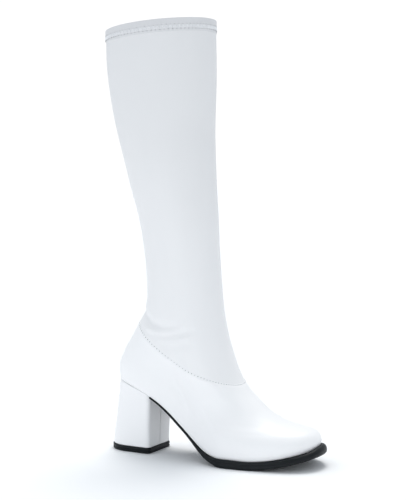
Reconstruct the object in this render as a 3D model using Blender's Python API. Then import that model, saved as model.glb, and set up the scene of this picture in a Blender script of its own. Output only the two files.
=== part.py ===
"""A knee-high go-go boot for the right foot, standing on a covered block heel.

The toe points along +X, the inner side of the foot lies at +Y and +Z is up. The origin is on the
floor, at the middle of the heel's resting face. Sizes are in metres.

The upper is one hollow wall: a foot with an overlapping edge, a stretch shaft and a folded hem.
The outsole closes it from the heel breast to the toe, and the heel block closes it at the seat.
"""

import math

import bmesh
import bpy
import numpy as np

# The last, which shapes the foot
FOOT_LENGTH = 0.227
BALL_WIDTH = 0.082
HEEL_WIDTH = 0.056
WAIST_OUTER = 0.029
WAIST_INNER = 0.0245
HEEL_HEIGHT = 0.0788
TOE_SPRING = 0.0115
TOE_SWING = 0.011
TOE_SQUARENESS = 2.35
HEEL_ROUNDNESS = 2.15
FRONT_REACH = 0.34

# The leg
ANKLE_RISE = 0.0999
ANKLE_DEPTH = 0.083
ANKLE_WIDTH = 0.070
ANKLE_CENTRE = 0.0784
CALF_DEPTH = 0.121
CALF_WIDTH = 0.102
BACKWARD_LEAN = 0.0290
BOOT_HEIGHT = 0.459
COLLAR_DROP = 0.010

# The wall of the upper
SHAFT_WALL = 0.0014
FOOT_OVERLAP = 0.0008
OVERLAP_EDGE = 0.0006
HEM_HEIGHT = 0.0135
HEM_STEP = 0.0007
HEM_EDGE = 0.0006
LASTING_MARGIN = 0.009
LASTED_THICKNESS = 0.0012
FEATHER_RADIUS = 0.0012

# The outsole, from the breast of the heel to the toe
SOLE_THICKNESS = 0.0078
WAIST_THICKNESS = 0.0028
BREAST_THICKNESS = 0.0014
SOLE_OVERHANG = 0.0040
TOE_OVERHANG = 0.0082
WAIST_OVERHANG = 0.0013
LIP_HEIGHT = 0.0022
TOE_LIP_HEIGHT = 0.0034
CAP_INSET = 0.006
LIP_REACH_SHARE = 0.8

# The heel
BREAST_AT = 0.0515
HEEL_FLARE = 0.0077
HEEL_BASE_WIDTH = 0.046
HEEL_BASE_WIDEST = 0.48
HEEL_TAPER = 2.4
BREAST_RAKE = 0.0045
HEEL_CORNER = 0.0045
HEEL_RIM = 0.0006
LIFT_THICKNESS = 0.0062
LIFT_OVERHANG = 0.0004
LIFT_GROOVE = 0.0005
LIFT_CHAMFER = 0.0006

INSOLE_THICKNESS = 0.0020
CLEARANCE = 0.0003

# How finely the curved surfaces are divided
AROUND = 56
FOOT_SPANS = 2
SHAFT_SPANS = 2
HEEL_STATIONS = 12
CORNER_STEPS = 3
HEEL_LEVELS = 6

# The underside of the last: how far it has risen to the seat, at shares of the foot's length
SEAT_RISE = (
    # along, rise
    (0.000, 1.000),
    (0.090, 0.948),
    (0.217, 0.800),
    (0.320, 0.605),
    (0.400, 0.388),
    (0.456, 0.222),
    (0.515, 0.090),
    (0.590, 0.014),
    (0.650, 0.000),
)
TREAD_FRONT = 0.720
SPRING_CURVE = 1.7

# Where the sole's outline is widest and narrowest, as shares of its length
HEEL_WIDEST = 0.165
WAIST_AT = 0.42
OUTER_BALL_AT = 0.640
INNER_BALL_AT = 0.680

# Where along the foot each change begins and ends, as shares of its length
SWING_SPAN = (0.30, 1.00)
WIDTHS_SPAN = (0.20, 0.70)
SHANK_SPAN = (0.23, 0.40)
FOREPART_SPAN = (0.43, 0.65)
OVERHANG_SPAN = (0.40, 0.56)
LIP_SPAN = (0.52, 0.68)
TOE_SPAN = (0.78, 1.00)
TREAD_SPAN = (0.58, 0.66)

# The foot, ring by ring from the feather edge up. Places along the foot are shares of its length.
# Heights are shares of the way from the last's underside up to the ankle. Camber is how far a ring
# follows the underside, and sag is its dip as a share of the ankle's rise. The widths are shares of
# the sole's outline, and leg is how far the ring has turned into the oval of the ankle.
FOOT_RINGS = (
    # back_x, back_up, front_x, front_up, camber, sag, heel_width, toe_width, leg
    (0.0130, 0.012, 0.9960, 0.008, 1.00, 0.000, 1.000, 1.000, 0.00),
    (0.0100, 0.080, 1.0045, 0.038, 1.00, 0.000, 1.035, 1.016, 0.00),
    (0.0105, 0.140, 0.9990, 0.080, 0.97, 0.000, 1.065, 1.000, 0.00),
    (0.0165, 0.200, 0.9760, 0.116, 0.90, 0.000, 1.075, 0.955, 0.00),
    (0.0265, 0.250, 0.9300, 0.144, 0.82, 0.000, 1.070, 0.890, 0.00),
    (0.0385, 0.305, 0.8575, 0.180, 0.70, 0.008, 1.060, 0.820, 0.03),
    (0.0540, 0.375, 0.7790, 0.240, 0.52, 0.025, 1.050, 0.775, 0.10),
    (0.0820, 0.480, 0.7080, 0.322, 0.30, 0.050, 1.040, 0.780, 0.25),
    (0.1230, 0.660, 0.6410, 0.425, 0.00, 0.078, 1.030, 0.800, 0.55),
    (0.1410, 0.750, 0.5970, 0.560, 0.00, 0.050, 1.000, 0.850, 0.80),
    (0.1530, 0.830, 0.5620, 0.710, 0.00, 0.022, 1.000, 0.900, 0.95),
    (0.1620, 0.910, 0.5400, 0.855, 0.00, 0.006, 1.000, 1.000, 1.00),
)
SEAM_RING = 8

# The shaft, ring by ring from the ankle up. Up is a share of the shaft's height, and the others
# are shares of the way from the ankle's size to the calf's and of the backward lean.
SHAFT_RINGS = (
    # up, deeper, wider, lean
    (0.000, 0.000, 0.000, 0.000),
    (0.100, -0.020, 0.060, 0.070),
    (0.250, 0.050, 0.270, 0.235),
    (0.400, 0.265, 0.530, 0.470),
    (0.550, 0.520, 0.760, 0.695),
    (0.705, 0.820, 0.930, 0.880),
    (0.855, 0.992, 1.000, 0.970),
    (1.000, 1.000, 0.980, 1.000),
)

# The outsole's edge, from the top of the lip down to the tread: out is a share of the overhang
# beyond the lip's inner side, and up is a share of the edge's whole height.
SOLE_EDGE = (
    # out, up
    (0.10, 1.00),
    (0.42, 1.00),
    (0.62, 0.90),
    (0.62, 0.70),
    (0.42, 0.63),
    (0.42, 0.56),
    (1.00, 0.48),
    (1.00, 0.14),
    (0.72, 0.00),
)

# Worked out from the sizes above
ANKLE_HEIGHT = HEEL_HEIGHT + ANKLE_RISE
SHAFT_HEIGHT = BOOT_HEIGHT - ANKLE_HEIGHT
HEEL_BACK = -HEEL_FLARE
HEEL_BASE_FRONT = BREAST_AT - BREAST_RAKE
ORIGIN_X = (HEEL_BACK + HEEL_BASE_FRONT) / 2


def ease(share):
    """A smooth step from 0 to 1."""
    share = np.clip(share, 0.0, 1.0)
    return share * share * (3 - 2 * share)


def mix(start, end, share):
    return start + (end - start) * share


def ease_over(span, along):
    """A smooth step from 0 where the span begins to 1 where it ends."""
    start, end = span
    return ease((along - start) / (end - start))


def curve_through(places, values, at):
    """Values at the given places on a smooth curve through the table, held beyond its ends."""
    places = np.asarray(places, float)
    values = np.asarray(values, float)
    at = np.clip(np.asarray(at, float), places[0], places[-1])
    slopes = np.gradient(values, places, axis=0)
    index = np.clip(np.searchsorted(places, at, side="right") - 1, 0, len(places) - 2)
    step = places[index + 1] - places[index]
    share = (at - places[index]) / step
    if values.ndim > 1:
        step = step[..., None]
        share = share[..., None]
    start, end = values[index], values[index + 1]
    return (
        start * (1 + 2 * share) * (1 - share) ** 2
        + slopes[index] * step * share * (1 - share) ** 2
        + end * share * share * (3 - 2 * share)
        + slopes[index + 1] * step * share * share * (share - 1)
    )


def tread_height(x):
    """Height of the outsole's tread above the floor: flat under the ball, rising to the toe."""
    toe = np.clip((x / FOOT_LENGTH - TREAD_FRONT) / (1 - TREAD_FRONT), 0.0, None)
    return TOE_SPRING * toe**SPRING_CURVE


def seat_rise(x):
    """How far the last's underside has risen towards the seat, from 0 at the ball to 1."""
    along, rise = zip(*SEAT_RISE)
    return np.clip(curve_through(along, rise, np.asarray(x) / FOOT_LENGTH), 0.0, None)


def last_height(x):
    """Height of the last's underside, where the upper's feather edge runs."""
    return SOLE_THICKNESS + (HEEL_HEIGHT - SOLE_THICKNESS) * seat_rise(x) + tread_height(x)


def swing(x):
    """How far the foot's middle line has turned to the inner side."""
    return TOE_SWING * ease_over(SWING_SPAN, x / FOOT_LENGTH)


def half_width(along, side, out=0.0):
    """Half the sole's width at a share of its length. Side is -1 outer, +1 inner; out widens it."""
    ball_at = np.where(side > 0, INNER_BALL_AT, OUTER_BALL_AT)
    waist = np.where(side > 0, WAIST_INNER, WAIST_OUTER)
    width = mix(HEEL_WIDTH / 2, waist, ease((along - HEEL_WIDEST) / (WAIST_AT - HEEL_WIDEST)))
    width = mix(width, BALL_WIDTH / 2, ease((along - WAIST_AT) / (ball_at - WAIST_AT)))
    back = np.clip(1 - along / HEEL_WIDEST, 0.0, 1.0)
    front = np.clip((along - (1 - FRONT_REACH)) / FRONT_REACH, 0.0, 1.0)
    width = (width + out) * (1 - back**HEEL_ROUNDNESS) ** (1 / HEEL_ROUNDNESS)
    return width * (1 - front**TOE_SQUARENESS) ** (1 / TOE_SQUARENESS)


def foot_rows():
    """The foot's table in metres, and the half width of the leg as its last column."""
    rows = []
    for back_x, back_up, front_x, front_up, camber, sag, heel, toe, leg in FOOT_RINGS:
        back, front = back_x * FOOT_LENGTH, front_x * FOOT_LENGTH
        back_z = mix(last_height(back), ANKLE_HEIGHT, back_up)
        front_z = mix(last_height(front), ANKLE_HEIGHT, front_up)
        dip = sag * ANKLE_RISE
        rows.append((back, back_z, front, front_z, camber, dip, heel, toe, leg, ANKLE_WIDTH / 2))
    return rows


def shaft_rows():
    """The shaft's table in the same columns as the foot's."""
    rows = []
    for up, deeper, wider, lean in SHAFT_RINGS:
        depth = mix(ANKLE_DEPTH, CALF_DEPTH, deeper)
        width = mix(ANKLE_WIDTH, CALF_WIDTH, wider)
        centre = ANKLE_CENTRE - BACKWARD_LEAN * lean
        front_z = ANKLE_HEIGHT + SHAFT_HEIGHT * up
        back_z = front_z - COLLAR_DROP * up
        rows.append((centre - depth / 2, back_z, centre + depth / 2, front_z, 0, 0, 1, 1, 1, width / 2))
    return rows


def all_round():
    """The turn of each point round a ring: 0 at the toe or shin, the outer side next."""
    return np.arange(AROUND) * 2 * math.pi / AROUND


def ring(row, turn, out=0.0):
    """Points round one ring of the upper's outer surface, or of one that stands out from it."""
    back_x, back_z, front_x, front_z, camber, sag, heel, toe, leg, leg_half = row
    along = (1 + np.cos(turn)) / 2
    side = np.where(np.sin(turn) > 0, -1.0, 1.0)
    x = mix(back_x, front_x, along)
    chord = mix(last_height(back_x), last_height(front_x), along)
    hollow = sag * 4 * along * (1 - along)
    z = mix(back_z, front_z, along) + camber * (last_height(x) - chord) - hollow
    foot = side * half_width(along, side, out) * mix(heel, toe, ease_over(WIDTHS_SPAN, along))
    oval = -leg_half * np.sin(turn)
    y = mix(foot + swing(x), oval, leg)
    return np.stack([x + out * np.cos(turn) ** 3, y, z], axis=1)


def ring_table():
    """Every row of the foot and the shaft, and how far up the front and back lines each one lies."""
    rows = np.array(foot_rows() + shaft_rows())
    steps = np.diff(rows, axis=0)
    lengths = (np.hypot(steps[:, 0], steps[:, 1]) + np.hypot(steps[:, 2], steps[:, 3])) / 2
    return rows, np.concatenate([[0], np.cumsum(lengths)])


def wall_levels():
    """Places up the wall, each with how far the outer face stands proud of the shaft's."""
    rows, ups = ring_table()
    seam, top = ups[SEAM_RING], ups[-1]
    spans = [FOOT_SPANS] * len(FOOT_RINGS) + [SHAFT_SPANS] * len(SHAFT_RINGS)
    levels = []
    for start, end, span in zip(ups[:-1], ups[1:], spans):
        levels += [mix(start, end, k / span) for k in range(span)]
    hem = top - HEM_HEIGHT
    apart = HEM_HEIGHT / 3
    levels = [up for up in levels if abs(up - seam) > OVERLAP_EDGE and abs(up - hem) > apart]
    proud = [(up, FOOT_OVERLAP if up < seam else 0.0) for up in levels if up < hem or up > hem]
    proud = [(up, HEM_STEP) if up > hem else (up, out) for up, out in proud]
    proud += [(seam, FOOT_OVERLAP), (seam + OVERLAP_EDGE, 0.0)]
    proud += [(hem - HEM_EDGE, 0.0), (hem, HEM_STEP), (top, HEM_STEP)]
    return rows, ups, sorted(proud)


def outward(grid):
    """Unit normals of a grid of rings that runs up the boot and round it."""
    around = np.roll(grid, -1, axis=1) - np.roll(grid, 1, axis=1)
    up = np.gradient(grid, axis=0)
    normal = np.cross(up, around)
    normal /= np.linalg.norm(normal, axis=2, keepdims=True)
    middle = grid.mean(axis=1, keepdims=True)
    facing = np.sign(np.sum(normal * (grid - middle), axis=(1, 2)))
    return normal * facing[:, None, None]


def sole_loop(turn, out, height):
    """The last's underside outline, widened by out, at a height above the last's underside."""
    loop = ring(foot_rows()[0], turn, out)
    loop[:, 2] = last_height(loop[:, 0]) + height
    return loop


def new_object(name, mesh_data, material):
    """An object from a bmesh, with its faces pointing out, smooth but for its real edges."""
    bmesh.ops.recalc_face_normals(mesh_data, faces=mesh_data.faces)
    mesh = bpy.data.meshes.new(name)
    mesh_data.to_mesh(mesh)
    mesh_data.free()
    mesh.materials.append(material)
    made = bpy.data.objects.new(name, mesh)
    bpy.context.scene.collection.objects.link(made)
    mesh.shade_smooth()
    mesh.set_sharp_from_angle(angle=math.radians(40))
    made.location.x = -ORIGIN_X
    return made


def add_loops(mesh_data, loops):
    return [[mesh_data.verts.new(point) for point in loop] for loop in loops]


def join_loops(mesh_data, lower, upper):
    """Faces between two closed loops with as many points."""
    count = len(lower)
    for i in range(count):
        j = (i + 1) % count
        mesh_data.faces.new((lower[i], lower[j], upper[j], upper[i]))


def close_loop(mesh_data, loop):
    """Rungs across a loop whose points i and -i face each other, so that a curved cap stays smooth."""
    count = len(loop)
    mesh_data.faces.new((loop[0], loop[1], loop[-1]))
    for i in range(1, (count - 1) // 2):
        mesh_data.faces.new((loop[i], loop[i + 1], loop[count - i - 1], loop[count - i]))
    if count % 2 == 0:
        half = count // 2
        mesh_data.faces.new((loop[half - 1], loop[half], loop[half + 1]))


def plate(name, loops, material):
    """A solid from a stack of loops, closed by rungs at both ends."""
    mesh_data = bmesh.new()
    rings = add_loops(mesh_data, loops)
    for lower, upper in zip(rings, rings[1:]):
        join_loops(mesh_data, lower, upper)
    close_loop(mesh_data, rings[0])
    close_loop(mesh_data, rings[-1])
    return new_object(name, mesh_data, material)


def make_upper(material):
    """The hollow wall of foot and shaft, with its lasting margin turned in under the insole."""
    rows, ups, levels = wall_levels()
    turn = all_round()
    grid = np.array([ring(row, turn) for row in curve_through(ups, rows, [up for up, _ in levels])])
    normals = outward(grid)
    proud = np.array([out for _, out in levels])
    outer = grid + normals * proud[:, None, None]
    inner = grid - normals * SHAFT_WALL
    loops = [sole_loop(turn, -LASTING_MARGIN, 0.0), sole_loop(turn, FOOT_OVERLAP - FEATHER_RADIUS, 0.0)]
    loops += list(outer)
    loops += list(inner[:0:-1])
    loops += [sole_loop(turn, -SHAFT_WALL, LASTED_THICKNESS)]
    loops += [sole_loop(turn, -LASTING_MARGIN, LASTED_THICKNESS)]
    mesh_data = bmesh.new()
    rings = add_loops(mesh_data, loops)
    for lower, upper in zip(rings, rings[1:] + rings[:1]):
        join_loops(mesh_data, lower, upper)
    return new_object("upper", mesh_data, material)


def make_insole(material):
    """The sock inside the foot, lying on the lasting margin."""
    turn = all_round()
    low = LASTED_THICKNESS + CLEARANCE
    edge = INSOLE_THICKNESS / 4
    out = -(SHAFT_WALL + CLEARANCE)
    loops = [
        sole_loop(turn, out - edge, low),
        sole_loop(turn, out, low + edge),
        sole_loop(turn, out, low + INSOLE_THICKNESS - edge),
        sole_loop(turn, out - edge, low + INSOLE_THICKNESS),
    ]
    return plate("insole", loops, material)


def sole_turns():
    """The upper's own turns from the toe to the heel breast, the outer side first."""
    back_x, _, front_x = foot_rows()[0][:3]
    along = (BREAST_AT + CLEARANCE - back_x) / (front_x - back_x)
    breast = math.acos(2 * along - 1)
    step = 2 * math.pi / AROUND
    outer = [k * step for k in range(AROUND) if k * step < breast - step / 3] + [breast]
    inner = [-turn for turn in outer[:0:-1]]
    return np.array(outer + inner)


def lip_reach():
    """How far out from the feather edge the upper's face stands at the height of the toe's lip."""
    rows, ups = ring_table()
    toe = rows[:, 3] - last_height(rows[:, 2])
    up = np.interp(TOE_LIP_HEIGHT, toe, ups)
    turn = np.array([0.0, math.pi / 2])
    low = ring(rows[0], turn)
    high = ring(curve_through(ups, rows, [up])[0], turn)
    bulge = np.abs(high - low)
    return FOOT_OVERLAP + CLEARANCE + max(bulge[0, 0], bulge[1, 1])


def make_outsole(material):
    """The outsole: a flat tread under the ball, a lip round the toe and a thin waist."""
    turn = sole_turns()
    along = sole_loop(turn, 0.0, 0.0)[:, 0] / FOOT_LENGTH
    toe = ease_over(TOE_SPAN, along)
    overhang = mix(WAIST_OVERHANG, SOLE_OVERHANG, ease_over(OVERHANG_SPAN, along))
    overhang = mix(overhang, TOE_OVERHANG, toe)
    lip = mix(LIP_HEIGHT * ease_over(LIP_SPAN, along), TOE_LIP_HEIGHT, toe)
    inner = np.minimum(lip_reach(), overhang * LIP_REACH_SHARE)
    thickness = mix(BREAST_THICKNESS, WAIST_THICKNESS, ease_over(SHANK_SPAN, along))
    thickness = mix(thickness, SOLE_THICKNESS - CLEARANCE, ease_over(FOREPART_SPAN, along))
    lifted = 1 - ease_over(TREAD_SPAN, along)
    loops = [sole_loop(turn, -CAP_INSET, -CLEARANCE), sole_loop(turn, inner, -CLEARANCE)]
    for out, up in SOLE_EDGE:
        loop = sole_loop(turn, mix(inner, overhang, out), 0.0)
        top = last_height(loop[:, 0]) - CLEARANCE
        floor = tread_height(loop[:, 0])
        tread = mix(floor, np.maximum(top - thickness, floor), lifted)
        loop[:, 2] = mix(tread, top + lip, up)
        loops.append(loop)
    return plate("outsole", loops, material)


def heel_loop(back, front, half, widest, out=0.0):
    """A heel section in plan, from its back point to the breast and back. Widest is the share of
    its length where the round back has reached the full width."""
    back, front, half = back - out, front + out, half + out
    corner = HEEL_CORNER
    sweep = np.linspace(0, math.pi / 2, HEEL_STATIONS)
    side_x = back + (front - corner - back) * (1 - np.cos(sweep))
    behind = np.clip(1 - (side_x - back) / (front - back) / widest, 0.0, 1.0)
    side_y = half * (1 - behind**HEEL_ROUNDNESS) ** (1 / HEEL_ROUNDNESS)
    angles = np.linspace(0, math.pi / 2, CORNER_STEPS + 1)[1:]
    corner_x = front - corner + corner * np.sin(angles)
    corner_y = half - corner + corner * np.cos(angles)
    x = np.concatenate([side_x, corner_x])
    y = np.concatenate([side_y, corner_y])
    outer = np.stack([x, -y, x * 0], axis=1)
    inner = np.stack([x, y, x * 0], axis=1)
    return np.concatenate([outer, inner[:0:-1]])


def make_heel(material):
    """The covered heel block: its top lies under the seat and its back flares out to the floor."""
    seat_back = foot_rows()[0][0] - HEEL_RIM
    loops = []
    for level in range(HEEL_LEVELS + 1):
        up = level / HEEL_LEVELS
        back = mix(HEEL_BACK, seat_back, up)
        front = mix(HEEL_BASE_FRONT, BREAST_AT, up**HEEL_TAPER)
        half = mix(HEEL_BASE_WIDTH, HEEL_WIDTH + 2 * HEEL_RIM, up**HEEL_TAPER) / 2
        widest = mix(HEEL_BASE_WIDEST, HEEL_WIDEST * FOOT_LENGTH / BREAST_AT, up)
        loop = heel_loop(back, front, half, widest)
        seat = last_height(np.maximum(loop[:, 0], 0.0)) - CLEARANCE
        loop[:, 2] = mix(LIFT_THICKNESS + CLEARANCE, seat, up)
        loops.append(loop)
    return plate("heel_block", loops, material)


def make_lift(material):
    """The hard-wearing top piece under the heel, with one fine groove round it."""
    half = HEEL_BASE_WIDTH / 2

    def at(out, height):
        loop = heel_loop(HEEL_BACK, HEEL_BASE_FRONT, half, HEEL_BASE_WIDEST, out)
        loop[:, 2] = height
        return loop

    groove = LIFT_THICKNESS / 2
    loops = [
        at(LIFT_OVERHANG - LIFT_CHAMFER, 0.0),
        at(LIFT_OVERHANG, LIFT_CHAMFER),
        at(LIFT_OVERHANG, groove - LIFT_GROOVE),
        at(LIFT_OVERHANG - LIFT_GROOVE, groove),
        at(LIFT_OVERHANG, groove + LIFT_GROOVE),
        at(LIFT_OVERHANG, LIFT_THICKNESS),
    ]
    return plate("heel_lift", loops, material)


def material(name, colour, roughness):
    made = bpy.data.materials.new(name)
    made.use_nodes = True
    shader = made.node_tree.nodes["Principled BSDF"]
    shader.inputs["Base Color"].default_value = (*colour, 1.0)
    shader.inputs["Roughness"].default_value = roughness
    shader.inputs["Metallic"].default_value = 0.0
    return made


def main():
    for old in list(bpy.data.objects):
        bpy.data.objects.remove(old)
    make_upper(material("white_stretch", (0.78, 0.80, 0.84), 0.42))
    make_insole(material("white_lining", (0.74, 0.74, 0.73), 0.75))
    make_outsole(material("black_sole", (0.012, 0.013, 0.015), 0.38))
    make_heel(material("white_heel_cover", (0.80, 0.82, 0.86), 0.30))
    make_lift(material("black_lift", (0.012, 0.013, 0.015), 0.45))


main()
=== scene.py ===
"""Dresses the white go-go boot: leather, hem, stitches, sole, heel, light and camera.

The boot stands with its toe along +X and its inner side at +Y. Sizes are in metres. The skin of
foot and leg is worked out from the same sizes and tables as the boot's solids, only finer.
"""

import math

import bmesh
import bpy
import numpy as np
from bpy.props import FloatProperty, FloatVectorProperty, PointerProperty
from bpy.types import Operator, Panel, PropertyGroup
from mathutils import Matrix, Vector


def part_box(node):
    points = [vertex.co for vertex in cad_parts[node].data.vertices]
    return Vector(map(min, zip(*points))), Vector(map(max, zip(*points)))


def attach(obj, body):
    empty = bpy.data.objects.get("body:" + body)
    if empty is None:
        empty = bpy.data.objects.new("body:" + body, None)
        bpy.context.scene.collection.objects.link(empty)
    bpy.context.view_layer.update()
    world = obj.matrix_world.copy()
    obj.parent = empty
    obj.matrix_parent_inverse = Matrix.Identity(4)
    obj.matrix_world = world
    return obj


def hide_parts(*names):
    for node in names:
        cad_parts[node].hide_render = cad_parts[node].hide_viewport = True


bl_info = {
    "name": "White go-go boot",
    "version": (1, 0, 0),
    "blender": (4, 5, 0),
    "location": "3D View > Sidebar > Boot",
    "description": "Makes a knee-high white boot with a glossy foot, a stitched hem and a covered heel",
    "category": "Object",
}

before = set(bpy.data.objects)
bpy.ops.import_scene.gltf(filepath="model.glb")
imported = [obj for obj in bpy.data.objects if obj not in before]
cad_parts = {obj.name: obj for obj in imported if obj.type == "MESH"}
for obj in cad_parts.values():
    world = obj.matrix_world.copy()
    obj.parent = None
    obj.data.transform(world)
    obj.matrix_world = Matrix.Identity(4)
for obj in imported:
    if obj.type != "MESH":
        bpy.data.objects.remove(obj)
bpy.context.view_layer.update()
LIFT_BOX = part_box("heel_lift")

# The underside of the last: how far it has risen to the seat, at shares of the foot's length
SEAT_RISE = (
    # along, rise
    (0.000, 1.000),
    (0.090, 0.948),
    (0.217, 0.800),
    (0.320, 0.605),
    (0.400, 0.388),
    (0.456, 0.222),
    (0.515, 0.090),
    (0.590, 0.014),
    (0.650, 0.000),
)

# The foot, ring by ring from the feather edge up, in shares of its length, rise and widths
FOOT_RINGS = (
    # back_x, back_up, front_x, front_up, camber, sag, heel_width, toe_width, leg
    (0.0130, 0.012, 0.9960, 0.008, 1.00, 0.000, 1.000, 1.000, 0.00),
    (0.0100, 0.080, 1.0045, 0.038, 1.00, 0.000, 1.035, 1.016, 0.00),
    (0.0105, 0.140, 0.9990, 0.080, 0.97, 0.000, 1.065, 1.000, 0.00),
    (0.0165, 0.200, 0.9760, 0.116, 0.90, 0.000, 1.075, 0.955, 0.00),
    (0.0265, 0.250, 0.9300, 0.144, 0.82, 0.000, 1.070, 0.890, 0.00),
    (0.0385, 0.305, 0.8575, 0.180, 0.70, 0.008, 1.060, 0.820, 0.03),
    (0.0540, 0.375, 0.7790, 0.240, 0.52, 0.025, 1.050, 0.775, 0.10),
    (0.0820, 0.480, 0.7080, 0.322, 0.30, 0.050, 1.040, 0.780, 0.25),
    (0.1230, 0.660, 0.6410, 0.425, 0.00, 0.078, 1.030, 0.800, 0.55),
    (0.1410, 0.750, 0.5970, 0.560, 0.00, 0.050, 1.000, 0.850, 0.80),
    (0.1530, 0.830, 0.5620, 0.710, 0.00, 0.022, 1.000, 0.900, 0.95),
    (0.1620, 0.910, 0.5400, 0.855, 0.00, 0.006, 1.000, 1.000, 1.00),
)
SEAM_RING = 8
SEAM_LIFT = 0.2

# The shaft, ring by ring from the ankle up, in shares of its height, growth and lean
SHAFT_RINGS = (
    # up, deeper, wider, lean
    (0.000, 0.000, 0.000, 0.000),
    (0.100, -0.020, 0.060, 0.070),
    (0.250, 0.050, 0.270, 0.235),
    (0.400, 0.265, 0.530, 0.470),
    (0.550, 0.520, 0.760, 0.695),
    (0.705, 0.820, 0.930, 0.880),
    (0.855, 0.992, 1.000, 0.970),
    (1.000, 1.000, 0.980, 1.000),
)

# The outsole's edge from the top of the lip down to the tread, in shares of overhang and height
SOLE_EDGE = (
    # out, up
    (0.10, 1.00),
    (0.50, 1.00),
    (0.80, 0.90),
    (0.84, 0.72),
    (0.76, 0.64),
    (0.76, 0.59),
    (1.00, 0.50),
    (1.00, 0.14),
    (0.72, 0.00),
)

# Where the sole's outline is widest and narrowest and where the tread starts to rise, as shares of
# its length, and how its ends are curved
HEEL_WIDEST = 0.165
WAIST_AT = 0.42
OUTER_BALL_AT = 0.640
INNER_BALL_AT = 0.680
TREAD_FRONT = 0.720
SPRING_CURVE = 1.7
TOE_SQUARENESS = 2.35
HEEL_ROUNDNESS = 2.15
FRONT_REACH = 0.34

# Where along the foot each change begins and ends, as shares of its length
SWING_SPAN = (0.30, 1.00)
WIDTHS_SPAN = (0.20, 0.70)
SHANK_SPAN = (0.23, 0.40)
FOREPART_SPAN = (0.43, 0.65)
OVERHANG_SPAN = (0.40, 0.56)
LIP_SPAN = (0.52, 0.68)
TOE_SPAN = (0.78, 1.00)
TREAD_SPAN = (0.58, 0.66)
LIP_REACH_SHARE = 0.8

# How far in under the upper the sole's top has a ring of its own
SOLE_REACH_IN = 0.006

# At the toe the sole's edge rounds over into the lip
LIP_FROM = 0.4
LIP_TOP = 0.25
LIP_ROUNDNESS = 1.6

# How far the lip dips on either side of the toe's point, where the upper hangs lower
LIP_DIP = (
    # degrees round from the toe to the outer side, metres
    (-80, 0.0000),
    (-62, 0.0012),
    (-48, 0.0028),
    (-38, 0.0028),
    (-22, 0.0000),
    (-5, 0.0000),
    (12, 0.0024),
    (24, 0.0034),
    (38, 0.0034),
    (54, 0.0018),
    (76, 0.0000),
)

# The lift's edge from the floor up, in metres out and shares of its thickness
LIFT_EDGE = (
    # out, up
    (-0.0010, 0.00),
    (0.0000, 0.06),
    (0.0004, 0.14),
    (0.0004, 0.40),
    (0.0001, 0.44),
    (-0.0001, 0.50),
    (0.0001, 0.56),
    (0.0004, 0.60),
    (0.0004, 0.90),
    (0.0002, 0.97),
    (-0.0002, 1.00),
)

# The heel's sections, as shares of its height, and the rounding at its foot and its seat
HEEL_LEVELS = (0.0, 0.004, 0.012, *np.linspace(0.03, 0.97, 26), 0.985, 0.995, 1.0)
HEEL_EDGE = 0.0006
HEEL_FOOT_SHARE = 0.012
HEEL_SEAT_SHARE = 0.015

# The points across the breast crowd to its middle, where the cover's join runs down it
BREAST_CROWDING = 0.7
BREAST_SLACK = 0.0001
JOIN_HALF_WIDTH = 0.0006
JOIN_DEPTH = 0.0005

# How finely the skin's sections are read, and how often they are evened out
SKIN_LEVELS = 1200
SKIN_PASSES = 36

# How many points lie round each piece, how many rings it has, how many of the outer side's rings
# the inner side passes over, and how far apart two rings lie where only their slope counts
POINTS = {"foot": 288, "shaft": 256, "hem": 512, "seam": 720, "lining": 128, "insole": 160}
RINGS = {"foot": 110, "shaft": 230, "hem": 19, "lining": 120}
INNER_STEP = 3
NEAR = 0.0005
SOLE_STEP = math.radians(1.6)

# How deep the leather and the lining lie in the wall, as shares of it, where the lining starts, how
# far it runs up into the hem, and how far in the sock's faces have rings of their own, in metres
LEATHER_SHARE = 0.6
LINING_SHARE = 0.66
LINING_START = 0.003
LINING_PAST_HEM = 0.002
INSOLE_REACH_IN = 0.006

# The shaft runs on under the foot and stops in the hem; the foot lies close on it where they lap
UNDER_FOOT = 0.008
BELOW_COLLAR = 0.0012
LAP = 0.010
LAP_GAP = 0.00003

# How far a pucker reaches from the seam, as the inverse of metres, and where up the leg the painted
# shade, which darkens the shaft toward the calf, begins and ends
PUCKER_FADING = 330.0
PAINTED_SHADE_FROM = 0.10
PAINTED_SHADE_TO = 0.34
BUMP_DISTANCE = 0.0004

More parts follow.
